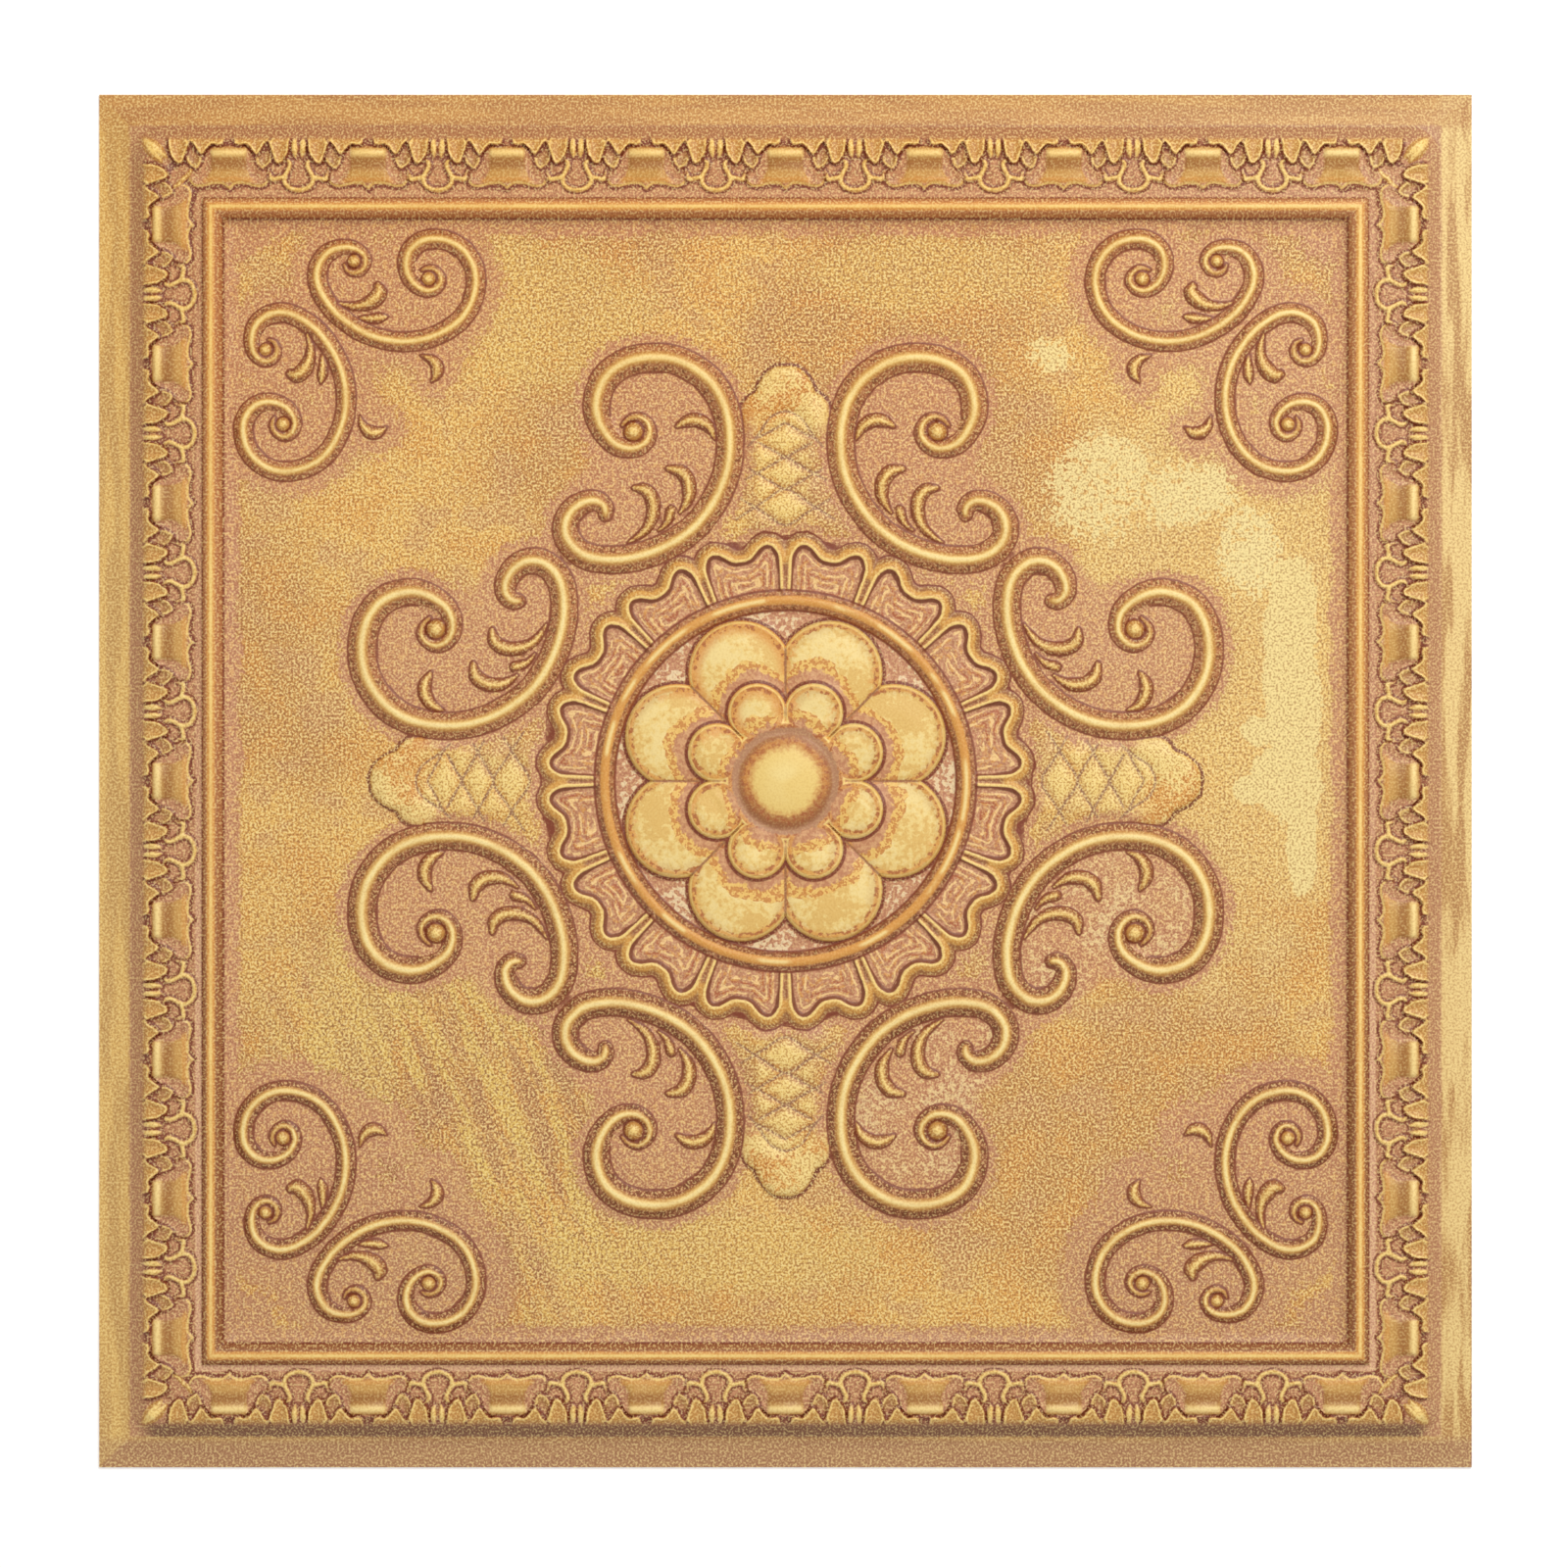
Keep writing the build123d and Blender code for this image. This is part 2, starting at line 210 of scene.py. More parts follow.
over_leaves = drawn("mould_over_leaves", [
    [(2.6, 279.9, 1.0), (3.4, 279.0, 1.0), (5.0, 278.7, 1.0), (7.2, 279.2, 1.0), (9.0, 278.0, 1.0),
     (10.6, 276.0, 1.0), (12.0, 274.5, 1.0),
     (13.5, 276.0, 1.0), (15.0, 278.6, 1.0), (16.6, 280.3, 1.0), (18.6, 280.8, 1.0), (18.6, 288.0, 1.0),
     (2.6, 288.0, 1.0)],
    [(17.4, 280.8, 1.0), (18.0, 278.4, 1.0), (18.9, 275.8, 1.0), (19.6, 273.6, 1.0), (20.4, 271.4, 1.0),
     (21.8, 270.6, 1.0),
     (23.4, 271.6, 1.0), (24.8, 273.4, 1.0), (25.8, 276.0, 1.0), (26.2, 279.0, 1.0), (26.4, 288.0, 1.0),
     (17.4, 288.0, 1.0)],
], closed=True)
under_leaf = drawn("mould_under_leaf", [
    [(11.2, 276.5, 1.0), (11.8, 273.0, 1.0), (12.6, 270.4, 1.0), (14.2, 268.3, 1.0), (15.9, 269.2, 1.0),
     (17.4, 270.3, 1.0), (18.6, 272.4, 1.0),
     (19.6, 275.6, 1.0), (19.6, 284.0, 1.0), (11.2, 284.0, 1.0)],
], closed=True)
arch = drawn("mould_arch", [
    [(25.2, 272.2, 0.6), (26.4, 271.2, 1.0), (26.6, 269.6, 1.1), (25.9, 267.8, 1.1), (24.8, 265.8, 1.1),
     (24.2, 263.6, 1.1), (24.7, 261.6, 1.1),
     (26.2, 260.1, 1.1), (28.2, 259.2, 1.1), (30.475, 258.9, 1.1)],
    [(24.2, 264.8, 1.1), (22.2, 264.2, 1.1), (20.0, 263.8, 1.1), (18.6, 263.6, 1.1), (18.2, 265.4, 0.7),
     (17.4, 267.5, 0.5)],
    [(28.7, 282.0, 1.0), (28.6, 277.0, 1.5), (29.0, 273.5, 0.7)],
], fold=30.475)

flange_edge = 301.5
egg_pitch = 60.95
ring_radius = 79.3
sheet_wall = 1.0
band_height = 9.0
panel_height = 6.0
face_cell = 0.85
back_cell = 1.5

mould = bpy.data.node_groups.new("pressed_sheet", "GeometryNodeTree")
mould.interface.new_socket("Sheet", in_out="OUTPUT", socket_type="NodeSocketGeometry")
for name, kind in (("Edge", "NodeSocketFloat"), ("Wall", "NodeSocketFloat"),
                   ("Band height", "NodeSocketFloat"),
                   ("Panel height", "NodeSocketFloat"), ("Cells", "NodeSocketInt"),
                   ("Back", "NodeSocketBool"),
                   ("Paint", "NodeSocketMaterial")):
    mould.interface.new_socket(name, in_out="INPUT", socket_type=kind)
given = mould.nodes.new("NodeGroupInput")
edge, wall, band, panel, cells, on_back, paint = [Field(mould, socket) for socket in given.outputs[:7]]
start = Field(mould)

# Plan position in millimetres, folded so that one eighth of the ornament serves all of it
place = start.node("GeometryNodeInputPosition")
x = start.node("ShaderNodeSeparateXYZ", (), {0: place}, 0) * 1000.0
y = start.node("ShaderNodeSeparateXYZ", (), {0: place}, 1) * 1000.0
u = x.size().least(y.size())
v = x.size().most(y.size())


def point(across, up):
    return start.node("ShaderNodeCombineXYZ", (), {0: across, 1: up})


def smooth_lines(sketch):
    """The drawing as smooth curves with close points."""
    info = start.node("GeometryNodeObjectInfo", {"transform_space": "ORIGINAL"}, {"Object": sketch},
                      "Geometry")
    rounded = start.node("GeometryNodeCurveSplineType", {"spline_type": "CATMULL_ROM"}, {"Curve": info})
    return start.node("GeometryNodeResampleCurve", {"mode": "LENGTH"}, {"Curve": rounded, "Length": 0.4})


def reach(sketch, at):
    """Distance to a drawn line, and the half width at the nearest place on it."""
    radius = start.node("GeometryNodeInputRadius")
    lines = start.node("GeometryNodeStoreNamedAttribute", {"data_type": "FLOAT", "domain": "POINT"},
                       {"Geometry": smooth_lines(sketch), "Name": "half", "Value": radius})
    wires = start.node("GeometryNodeCurveToMesh", (), {"Curve": lines})
    away = start.node("GeometryNodeProximity", {"target_element": "EDGES"},
                      {0: wires, "Sample Position": at}, "Distance")
    nearest = start.node("GeometryNodeSampleNearest", {"domain": "POINT"},
                         {"Geometry": wires, "Sample Position": at})
    kept = start.node("GeometryNodeInputNamedAttribute", {"data_type": "FLOAT"}, {"Name": "half"},
                      "Attribute")
    half = start.node("GeometryNodeSampleIndex", {"data_type": "FLOAT", "domain": "POINT"},
                      {"Geometry": wires, "Value": kept, "Index": nearest})
    return away, half


def inside(sketch, at):
    """Depth inside a drawn outline, and distance outside it."""
    lines = smooth_lines(sketch)
    wires = start.node("GeometryNodeCurveToMesh", (), {"Curve": lines})
    plate = start.node("GeometryNodeFillCurve", {"mode": "TRIANGLES"}, {"Curve": lines})
    away = start.node("GeometryNodeProximity", {"target_element": "EDGES"},
                      {0: wires, "Sample Position": at}, "Distance")
    out = start.node("GeometryNodeProximity", {"target_element": "FACES"},
                     {0: plate, "Sample Position": at}, "Distance")
    within = 1.0 - out.math("GREATER_THAN", out, 0.01)
    return away * within, out


def round_square(half, corner):
    """Distance from the centre measured to rounded squares, equal to half on the square of that size."""
    flat = half - corner
    side = (u - flat).most(0.0)
    top = (v - flat).most(0.0)
    return (side * side + top * top).power(0.5) + (v - flat).least(0.0) + flat


def round_rib(away, half, inset, draft):
    """Height of a rib as a share, from half a round at a draft of 0.5 to one that dies into the panel."""
    share = ((away + inset) / half).least(1.0)
    return (1.0 - share * share).power(draft)


def press(inset):
    """Height of the mould in millimetres, moved in by the inset, and the distances its painter follows."""
    foot = round_square(287.5, 13.0)
    rise = ((287.5 - inset - foot) / 7.5).most(0.0).least(1.0)
    low = wall if inset == 0.0 else 0.0
    ground = rise * (band - low - inset) + low
    recess = 1.0 - round_square(246.5 + inset, 3.5).ease(246.4 + inset, 247.7 + inset)
    ground = ground - recess * (band - panel)
    bar = (16.0 - 8.0 * inset + inset * inset - (v - 251.5) * (v - 251.5)).most(0.0).power(0.5)
    ground = ground + bar * 0.98
    octant = point(u, v)
    rib_away, rib_half = reach(ribs, octant)
    raised = round_rib(rib_away, rib_half, inset, 1.6) * (rib_half * 0.74 - inset)
    middle = (x * x + y * y).power(0.5)
    ring_away = (middle - ring_radius).size()
    raised = raised.most(round_rib(ring_away, 4.6, inset, 1.2) * (4.0 - inset))
    outer_depth = 22.9 - ((u - 19.632) * (u - 19.632) + (v - 47.395) * (v - 47.395)).power(0.5) - inset
    inner_depth = 12.9 - ((u - 12.361) * (u - 12.361) + (v - 29.841) * (v - 29.841)).power(0.5) - inset
    petals = outer_depth.most(40.0 - middle).ease(0.0, 1.5) * (2.6 - inset) + outer_depth.ease(2.0,
                                                                                               14.0) * 1.4
    petals = petals + inner_depth.most(27.0 - middle).ease(0.0, 1.3) * 2.0
    petals = petals + inner_depth.most(31.0 - middle).ease(1.5, 9.0) * 1.2
    moat = (1.0 - ((middle - 21.5) / 4.0).size().least(1.0)).ease(0.0, 1.0)
    boss = (1.0 - (middle / (20.5 - inset)).least(1.0).power(2.0)).power(0.6) * (4.9
                                                                                 - inset) + 3.0 - 3.0 * middle.ease(20.0, 21.0)
    slice_turn = ((u.math("ARCTAN2", u, v) - 0.392699).size() - 0.19635).size()
    leaf_place = point(middle * slice_turn.math("SINE", slice_turn),
                       middle * slice_turn.math("COSINE", slice_turn))
    leaf_in, leaf_out = inside(skirt_leaf, leaf_place)
    on_skirt = middle.ease(78.0, 79.5)
    if inset > 0.0:
        skirt = (1.0 - leaf_out.ease(0.0, 3.0)) * on_skirt
        return ground + raised.most((petals - moat).most(boss)).most(skirt)
    outer_rim = (1.0 - ((outer_depth - 1.2) / 0.9).size().least(1.0)).ease(0.0, 1.0)
    inner_rim = (1.0 - ((inner_depth - 1.1) / 0.8).size().least(1.0)).ease(0.0, 1.0) * middle.ease(25.0, 29.0)
    turn = u.math("ARCTAN2", u, v)
    seam = (turn.least(0.785398 - turn) * middle).most(0.0)
    seam_cut = (1.0 - seam.ease(0.1, 1.3)) * outer_depth.ease(0.5, 2.5) * middle.ease(26.0, 30.0)
    petals = petals + outer_rim * 0.3 + inner_rim * 0.3 - seam_cut * 0.6 - moat * 1.3
    raised = raised.most(petals.most(boss))
    vein_away, vein_half = reach(skirt_veins, leaf_place)
    vein = (1.0 - vein_away / vein_half).most(0.0).ease(0.0, 1.0)
    skirt = 1.0 + (1.0 - leaf_in.ease(0.3, 1.9)) * 1.9 - leaf_out.ease(0.2,
                                                                       5.4) * 2.9 + vein * 0.35 * leaf_in.ease(1.0, 2.5)
    skirt = skirt + leaf_in.ease(1.9, 5.0) * 0.3
    skirt = skirt - leaf_out.ease(0.5, 1.5) * (1.0 - middle.ease(92.0, 98.0)) * 1.2
    raised = raised.most(skirt * on_skirt - (1.0 - on_skirt))
    leaf_away, leaf_half = reach(leaves, octant)
    raised = raised.most(round_rib(leaf_away, leaf_half, 0.0, 0.9) * leaf_half * 0.8)
    # Cone of the palmette: a stepped cap whose sides die into the panel, and a lattice pressed into it
    cone_in, cone_out = inside(cone, octant)
    groove_away, groove_half = reach(cone_grooves, octant)
    groove = 1.0 - (groove_away / (groove_half * 1.1)).ease(0.0, 1.0)
    side_run = (164.0 - v).most(0.0) * 0.3 + 1.6
    plate = (cone_in / side_run).ease(0.0, 1.0)
    cone_top = plate * 1.7 + groove_away.ease(0.5,
                                              5.0) * 0.9 * plate * (1.0
                                                                    - u.ease(9.0, 18.0)) - groove * 0.6 * plate
    raised = raised.most(cone_top * v.ease(104.0, 116.0))
    # Border: eggs at an even pitch, with leaves, ears and arches between them
    egg_index = (u / egg_pitch).math("ROUND", u / egg_pitch).least(4.0)
    along = (u - egg_index * egg_pitch).size()
    unit = point(along, v)
    egg_in, egg_out = inside(egg, unit)
    wing = egg_in.ease(0.0, 1.0) * (0.7 + (1.0 - egg_in.ease(0.4, 2.6)) * 0.8)
    roll = (1.0 - ((v - 275.0) / 3.6).size().least(1.0)).ease(0.0, 1.0) * 1.4
    pad_side = along - (268.0 - v).most(0.0) * 0.5
    pad = (1.0 - pad_side.ease(6.4, 8.8)) * v.ease(261.2, 263.4) * (1.0 - v.ease(276.6, 278.4)) * (1.6 + roll)
    over_in, over_out = inside(over_leaves, unit)
    under_in, under_out = inside(under_leaf, unit)
    hem = 1.0 - v.ease(279.5, 285.0)
    over = (1.0 - over_out.ease(0.0, 0.7)) * (1.3 + (1.0 - over_in.ease(0.3, 2.6)) * 1.3) * hem
    under = (1.0 - under_out.ease(0.0, 0.7)) * (0.6 + (1.0 - under_in.ease(0.3, 2.6)) * 1.0) * hem
    hang = over.most(under)
    arch_away, arch_half = reach(arch, unit)
    before_corner = 1.0 - u.ease(244.0, 252.0)
    loop = round_rib(arch_away, arch_half, 0.0,
                     0.8) * arch_half * 1.5 * before_corner * (1.0 - v.ease(276.0, 284.0))
    on_band = v.ease(256.5, 258.5) * (1.0 - v.ease(284.0, 287.0))
    raised = raised + wing.most(pad).most(hang).most(loop) * on_band
    # The sheet is drawn tightest into the mould along every foot, and lies a little proud between
    band_foot = (arch_away - arch_half).least(egg_out).least(over_out).least(under_out).most(0.0)
    ground = ground - (1.0 - band_foot.ease(0.0, 1.8)) * on_band * before_corner * 0.2
    near = (rib_away - rib_half).least(leaf_away - leaf_half).least(ring_away - 4.3).least(leaf_out - 5.0
                                                                                           * on_skirt)
    panel_foot = near.least(cone_out).most(0.0)
    ground = ground - (1.0 - panel_foot.ease(0.0, 2.5)) * 0.2
    painted = {"rib": rib_away / rib_half, "rib_gap": rib_away - rib_half, "leaf": leaf_away / leaf_half,
               "leaf_gap": leaf_away - leaf_half,
               "skirt": leaf_in - leaf_out, "vein": vein_away, "cone": cone_in - cone_out,
               "groove": groove_away,
               "egg": egg_in - egg_out, "over": over_in - over_out, "under": under_in - under_out,
               "arch": arch_away - arch_half + (1.0 - before_corner) * 9.0, "near": near}
    return ground + raised, painted


face_height, painted = press(0.0)
back_height = press(1.0).least(face_height - 0.7)
grid = start.node("GeometryNodeMeshGrid", (),
                  {"Size X": edge * 0.002, "Size Y": edge * 0.002, "Vertices X": cells, "Vertices Y": cells})
ripple = (start.node("ShaderNodeTexNoise", (), {"Vector": place, "Scale": 110.0, "Detail": 1.0})
          - 0.5) * (1.0 - v.ease(283.0, 287.0)) * 0.1
face_lift = start.node("ShaderNodeCombineXYZ", (), {2: (face_height + ripple) * 0.001})
face = start.node("GeometryNodeSetPosition", (), {"Geometry": grid, "Offset": face_lift})
for name, value in painted.items():
    face = start.node("GeometryNodeStoreNamedAttribute", {"data_type": "FLOAT", "domain": "POINT"},
                      {"Geometry": face, "Name": name, "Value": value})
back_lift = start.node("ShaderNodeCombineXYZ", (), {2: back_height.most(0.0) * 0.001})
back = start.node("GeometryNodeSetPosition", (), {"Geometry": grid, "Offset": back_lift})
back = start.node("GeometryNodeFlipFaces", (), {"Mesh": back})
side = start.node("GeometryNodeSwitch", {"input_type": "GEOMETRY"},
                  {"Switch": on_back, "False": face, "True": back})
real_side = start.node("GeometryNodeRealizeInstances", (), {"Geometry": side})
coated = start.node("GeometryNodeSetMaterial", (), {"Geometry": real_side, "Material": paint})
mould.links.new(coated.socket, mould.nodes.new("NodeGroupOutput").inputs[0])


def shade(red, green, blue):
    """A paint colour from its screen values, in the linear scale that materials use."""
    parts = [value / 255 for value in (red, green, blue)]
    linear = [part / 12.92 if part <= 0.04045 else ((part + 0.055) / 1.055) ** 2.4 for part in parts]
    return (*linear, 1.0)


# Antique gold: a warm stippled gold coat, a mauve glaze laid round the ornament, brown wiped along its sides
# and clear gold rubbed over the tops. The painter's distances come from the mould and are in millimetres.
gilding = bpy.data.materials.new("antique_gold_paint")
gilding.use_nodes = True
gilding.node_tree.nodes.clear()
brush = Field(gilding.node_tree)
spot = brush.node("ShaderNodeTexCoord", (), (), "Object")
px = brush.node("ShaderNodeSeparateXYZ", (), {0: spot}, 0) * 1000.0
py = brush.node("ShaderNodeSeparateXYZ", (), {0: spot}, 1) * 1000.0
pu = px.size().least(py.size())
pv = px.size().most(py.size())
pr = (px * px + py * py).power(0.5)


def mask(name):
    return brush.node("ShaderNodeAttribute", {"attribute_name": name}, (), "Fac")


def cloud(scale, detail, at=spot):
    """Uneven paint over the plan of the tile, in patches of about one metre over the scale."""
    return brush.node("ShaderNodeTexNoise", {"noise_dimensions": "2D"},
                      {"Vector": at, "Scale": scale, "Detail": detail})


def stretched(at, across, up):
    return brush.node("ShaderNodeVectorMath", {"operation": "MULTIPLY"}, {0: at, 1: (across, up, 1.0)})


def coat(under, over, share):
    return brush.node("ShaderNodeMix", {"data_type": "RGBA"}, {0: share, 6: under, 7: over}, 2)


def between(value, low, high, soft):
    """One between two limits, fading over a soft width at each."""
    return value.ease(low - soft, low + soft) * (1.0 - value.ease(high - soft, high + soft))


def smudge(across, up, wide, tall):
    """A soft patch on the panel, of the given half sizes."""
    dx = (px - across) / wide
    dy = (py - up) / tall
    return 1.0 - (dx * dx + dy * dy).power(0.5).ease(0.45, 1.15)


blotch = cloud(9.0, 2.0)
drift = cloud(46.0, 2.0)
wander = cloud(240.0, 2.0)
fleck = cloud(430.0, 2.0)
grain = cloud(1000.0, 1.0)
peel = brush.node("ShaderNodeTexVoronoi", {"feature": "DISTANCE_TO_EDGE", "voronoi_dimensions": "2D"},
                  {"Vector": spot, "Scale": 420.0}, "Distance")
slanted = brush.node("ShaderNodeVectorRotate", {"rotation_type": "Z_AXIS"}, {"Vector": spot, "Angle": -0.44})
wiped = cloud(130.0, 2.0, stretched(slanted, 1.0, 0.14))
rib, rib_gap, leaf, leaf_gap = mask("rib"), mask("rib_gap"), mask("leaf"), mask("leaf_gap")
skirt, vein, cone_depth, groove = mask("skirt"), mask("vein"), mask("cone"), mask("groove")
egg_depth, over_depth, under_depth, arch_gap, near = mask("egg"), mask("over"), mask("under"), mask("arch"), mask("near")
shake = (wander - 0.5) * 1.6
wide_shake = (wander - 0.5) * 3.0 + (drift - 0.5) * 9.0

bright = shade(250, 214, 128)
painted_highlight = shade(255, 234, 168)
dull_gold = shade(204, 148, 72)
olive = shade(178, 128, 62)
brown = shade(160, 104, 64)
dark_line = shade(132, 58, 28)
rust = shade(170, 88, 42)
amber = shade(222, 156, 72)

# Panel: gold stipple like orange peel, wiped along a slant at the lower left, with pale worn patches at the right
lower_left = smudge(-135.0, -150.0, 120.0, 120.0)
tint = coat(shade(210, 156, 84), shade(236, 188, 100), blotch.ease(0.38, 0.62))
tint = coat(tint, shade(228, 162, 72), (1.0 - drift.ease(0.36, 0.5)) * 0.5)
tint = coat(tint, shade(210, 158, 106), drift.ease(0.54, 0.66) * 0.55)
tint = coat(tint, shade(236, 200, 104), wiped.ease(0.5, 0.6) * lower_left * 0.8)
tint = coat(tint, shade(188, 134, 92), (1.0 - wiped.ease(0.38, 0.46)) * lower_left * 0.6)
straw = smudge(-30.0, -208.0, 90.0, 20.0).most(smudge(-188.0, -110.0, 22.0, 70.0))
straw = straw.most(smudge(-110.0, 205.0, 60.0, 40.0)).most(smudge(60.0, 222.0, 60.0, 22.0))
straw_edge = (drift - 0.5) * 1.1 + (fleck - 0.5) * 1.6
tint = coat(tint, shade(234, 196, 106), (straw + straw_edge).ease(0.4, 0.56) * straw.ease(0.0, 0.2) * 0.6)
pale_side = smudge(190.0, 60.0, 85.0, 180.0)
tint = coat(tint, shade(242, 206, 124), (pale_side + (drift - 0.5) * 0.8).ease(0.2, 0.8) * 0.65)
peel_depth = 0.4 + lower_left * 0.35 + py.ease(120.0, 220.0) * 0.15
tint = coat(tint, shade(166, 112, 70), (1.0 - peel.ease(0.04, 0.24)) * fleck.ease(0.36, 0.56) * peel_depth)
tint = coat(tint, shade(250, 220, 138), peel.ease(0.3, 0.42) * fleck.ease(0.44, 0.6) * 0.5)
broken = smudge(138.0, 129.0, 30.0,
                28.0).most(smudge(175.0, 126.0, 29.0, 18.0)).most(smudge(116.0, 187.0, 13.0, 9.0))
broken = broken.most(smudge(203.0, 102.0, 18.0, 26.0) * 0.9)
broken_edge = (drift - 0.5) * 1.3 + (wander - 0.5) * 1.4 + (fleck - 0.5) * 2.6
tint = coat(tint, shade(244, 224, 156),
            (broken + broken_edge).ease(0.6, 0.72) * broken.ease(0.05, 0.3) * 0.85)
worn = smudge(222.0, 70.0, 15.0,
              34.0).most(smudge(222.0, 34.0, 16.0, 40.0)).most(smudge(207.0, 22.0, 10.0, 9.0))
worn = worn.most(smudge(219.0, 0.0, 19.0, 22.0)).most(smudge(205.0, -4.0, 11.0, 8.0)).most(smudge(226.5,
                                                                                                  -26.0, 8.0, 30.0))
worn_edge = (drift - 0.5) * 1.0 + (wander - 0.5) * 0.5 + (fleck - 0.5) * 0.5
tint = coat(tint, shade(242, 218, 146), (worn + worn_edge).ease(0.44, 0.54) * worn.ease(0.0, 0.2) * 0.92)

# Mauve glaze round the ornament, in the loops and along the panel's edge, dabbed out into the gold
mauve = coat(shade(196, 134, 98), shade(212, 154, 114), fleck.ease(0.4, 0.6))
mauve = coat(mauve, shade(186, 136, 98), (1.0 - py.ease(-230.0, -120.0)) * 0.5)
dabs = (fleck - 0.5) * 16.0 + (0.2 - peel) * 5.0
halo = 1.0 - (near + wide_shake * 0.6 + dabs * 0.6).ease(3.2, 5.0)
loop_hollow = 1.0 - (((pu - 57.0).power(2.0) + (pv - 150.0).power(2.0)).power(0.5) + wide_shake
                     + dabs).ease(28.0, 33.0)
tail_hollow = 1.0 - (((pu - 76.0).power(2.0) + (pv - 114.0).power(2.0)).power(0.5) + wide_shake).ease(22.0,
                                                                                                      27.0)
low_corner = 1.0 - py.ease(-160.0, -80.0)
curl_hollow = 1.0 - (near + wide_shake + dabs - low_corner * 5.0 - 3.0).ease(3.0, 6.0)
corner_reach = ((246.0 - pu).most(0.0).power(2.0) + (246.0 - pv).most(0.0).power(2.0)).power(0.5)
edge_glaze = 1.0 - (246.5 - pv + wide_shake + dabs * 0.4).ease(6.0, 8.4)
edge_glaze = edge_glaze.most(1.0 - (corner_reach + wide_shake * 2.0 + dabs).ease(20.0, 25.0))
glaze = (halo * 0.9).most(loop_hollow * 0.8).most(tail_hollow * 0.85).most(edge_glaze * 0.9)
glaze = glaze.most(curl_hollow * pu.ease(110.0, 125.0) * 0.8)
tint = coat(tint, mauve, glaze)
tint = coat(tint, shade(232, 180, 104), (fleck + (grain - 0.5) * 0.5).ease(0.56, 0.61) * glaze * 0.6)
cream = (fleck + drift * 0.7).ease(0.92, 0.97) * loop_hollow.most(tail_hollow) * px.ease(-40.0,
                                                                                         60.0) * (1.0 - py.ease(-60.0, 20.0))
tint = coat(tint, shade(246, 222, 164), cream * 0.5)

# Cone: rubbed gold cap and lattice pillows
cap = cone_depth.ease(0.0, 1.5) * (pv + wide_shake).ease(150.0, 160.0)
cap_gold = coat(amber, shade(246, 214, 132), (drift + (fleck - 0.5) * 0.6).ease(0.38, 0.56))
tint = coat(tint, cap_gold, cap * 0.9)
pillow = groove.ease(0.8, 3.4) * (1.0 - (pu + wide_shake).ease(8.0, 15.0)) * between(pv, 114.0, 160.0, 4.0)
tint = coat(tint, shade(246, 212, 126), pillow * 0.9)
cut = (1.0 - groove.ease(0.3, 0.9)) * cone_depth.ease(0.5,
                                                      2.0) * (1.0 - pv.ease(163.0, 164.0)) * pv.ease(106.0,
                                                                                                     112.0)
tint = coat(tint, shade(172, 128, 96), cut * 0.85)
tint = coat(tint, dark_line, between(cone_depth + shake * 0.5, -1.2, 0.4, 0.4) * pv.ease(160.0, 166.0) * 0.9)

# Medallion: mauve floor with pale flecks, two rows of petals and a domed boss
outer_petal = 22.9 - ((pu - 19.632).power(2.0) + (pv - 47.395).power(2.0)).power(0.5)
inner_petal = 12.9 - ((pu - 12.361).power(2.0) + (pv - 29.841).power(2.0)).power(0.5)
inner_petal = inner_petal.most(26.5 - pr)
tint = coat(tint, mauve, 1.0 - pr.ease(77.0, 79.0))
tint = coat(tint, shade(244, 222, 176),
            (1.0 - pr.ease(76.0, 78.0)) * (fleck + drift * 0.8).ease(0.93, 1.01) * 0.8)
dots = (fleck + (wander - 0.5) * 0.6).ease(0.53, 0.58) * 0.8


def petal(under, depth, foot):
    """A petal's paint: clear gold crown, darker olive gold towards the rim as painted shade, amber towards its foot and
    rim, rust dots and a dark outline.
    """
    # Painted shade: darker olive gold near the rim, paler over the middle of the dome
    crown = coat(shade(206, 158, 76), shade(242, 210, 130), (depth + shake + wide_shake * 0.8).ease(0.5, 7.0))
    crown = coat(crown, shade(222, 172, 84), (drift + (fleck - 0.5) * 0.7).ease(0.5, 0.6) * 0.6)
    crown = coat(crown, shade(252, 232, 168), (1.0 - (drift + (fleck - 0.5) * 0.7).ease(0.38, 0.46)) * 0.35)
    crown = coat(crown, shade(224, 142, 58),
                 (blotch + (wander - 0.5) * 0.3).ease(0.58, 0.62) * (1.0 - depth.ease(3.0, 8.0)) * 0.6)
    stipple = coat(shade(206, 132, 56), shade(240, 194, 104), (fleck + (grain - 0.5) * 0.4).ease(0.46, 0.54))
    crown = coat(crown, stipple, (1.0 - (foot + wide_shake * 1.3).ease(8.6, 9.2)) * 0.9)
    crown = coat(crown, mauve, (1.0 - (foot + wide_shake * 0.8 + dabs * 0.3).ease(4.4, 5.4)) * 0.85)
    crown = coat(crown, amber, between(depth + shake, 1.4, 3.0, 0.6) * 0.75)
    crown = coat(crown, rust, between(depth + shake, 1.7, 3.7, 0.4) * dots)
    crown = coat(crown, bright, between(depth, 0.5, 1.3, 0.35))
    edged = coat(under, dark_line, between(depth, -1.5, 0.2, 0.35))
    return coat(edged, crown, depth.ease(-0.2, 0.2))


